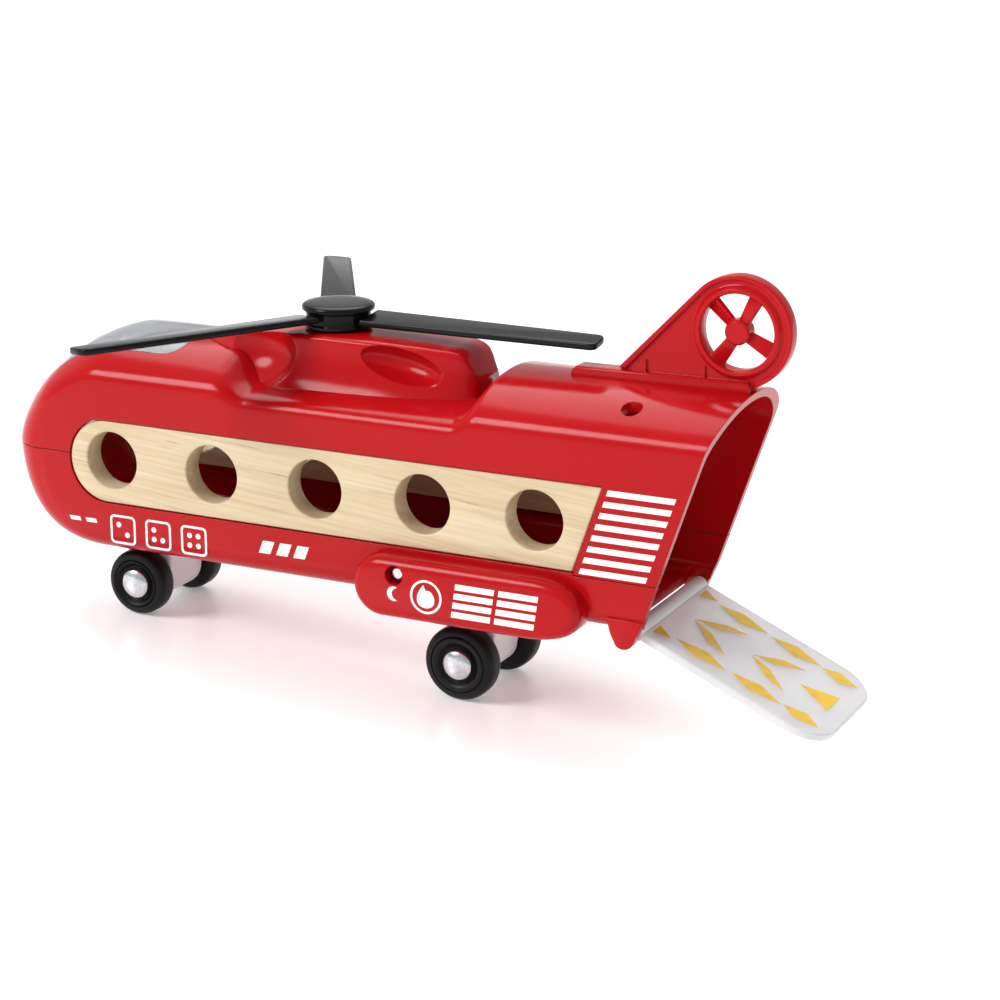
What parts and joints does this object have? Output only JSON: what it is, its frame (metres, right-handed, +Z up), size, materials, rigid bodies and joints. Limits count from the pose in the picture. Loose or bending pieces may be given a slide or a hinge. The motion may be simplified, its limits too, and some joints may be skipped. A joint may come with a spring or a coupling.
{
  "type": "toy helicopter",
  "caption": "Toy transport helicopter: red hull with wooden window panels, spinning three-blade rotor, rolling wheels and a fold-down tail ramp into its cargo bay.",
  "frame": {"origin": "middle of the toy's length and width, on the surface that its wheels stand on", "axes": "+X towards the tail, -X towards the nose, +Y to the right side, +Z up"},
  "size_m": [0.3238, 0.1775, 0.1638],
  "materials": {
    "red_plastic": "glossy moulded",
    "maple": "sanded, clear matt lacquer",
    "clear_plastic": "clear, slightly smoky",
    "grey_plastic": "satin moulded",
    "steel": "bright",
    "tyre_rubber": "satin",
    "black_plastic": "glossy moulded",
    "ramp_plastic": "translucent white with a yellow chevron print"
  },
  "bodies": {
    "airframe": {"upper_shell": "red_plastic", "lower_shell": "red_plastic", "rotor_pylon": "red_plastic", "tail_fin": "red_plastic", "left_sponson": "red_plastic", "right_sponson": "red_plastic", "left_side_panel": "maple", "right_side_panel": "maple", "windscreen": "clear_plastic", "mast_bushing": "grey_plastic", "front_axle_block": "grey_plastic", "rear_axle_block": "grey_plastic", "left_roof_screw": "steel", "right_roof_screw": "steel", "left_sponson_screw": "steel", "right_sponson_screw": "steel", "front_block_screw": "steel", "rear_block_screw": "steel", "ramp_hinge_pin": "steel"},
    "rotor": {"rotor_hub": "black_plastic", "rotor_shaft": "steel", "shaft_clip": "steel", "rotor_blade_1": "black_plastic", "rotor_blade_2": "black_plastic", "rotor_blade_3": "black_plastic"},
    "ramp": {"ramp_panel": "ramp_plastic"},
    "front_wheels": {"front_axle": "steel", "front_left_tyre": "tyre_rubber", "front_left_cap": "steel", "front_right_tyre": "tyre_rubber", "front_right_cap": "steel"},
    "rear_wheels": {"rear_axle": "steel", "rear_left_tyre": "tyre_rubber", "rear_left_cap": "steel", "rear_right_tyre": "tyre_rubber", "rear_right_cap": "steel"}
  },
  "joints": [
    {"name": "rotor_spin", "type": "hinge", "parent": "airframe", "child": "rotor", "pos_m": [-0.04096, 0, 0.12282], "axis": [-0.0872, 0, 0.9962], "continuous": true},
    {"name": "ramp_fold", "type": "hinge", "parent": "airframe", "child": "ramp", "pos_m": [0.09338, 0, 0.04453], "axis": [0, -1, 0], "range_deg": [0, 95]},
    {"name": "front_wheels_roll", "type": "hinge", "parent": "airframe", "child": "front_wheels", "pos_m": [-0.10807, 0, 0.01215], "axis": [0, 1, 0], "continuous": true},
    {"name": "rear_wheels_roll", "type": "hinge", "parent": "airframe", "child": "rear_wheels", "pos_m": [0.02563, 0, 0.01341], "axis": [0, 1, 0], "continuous": true}
  ]
}
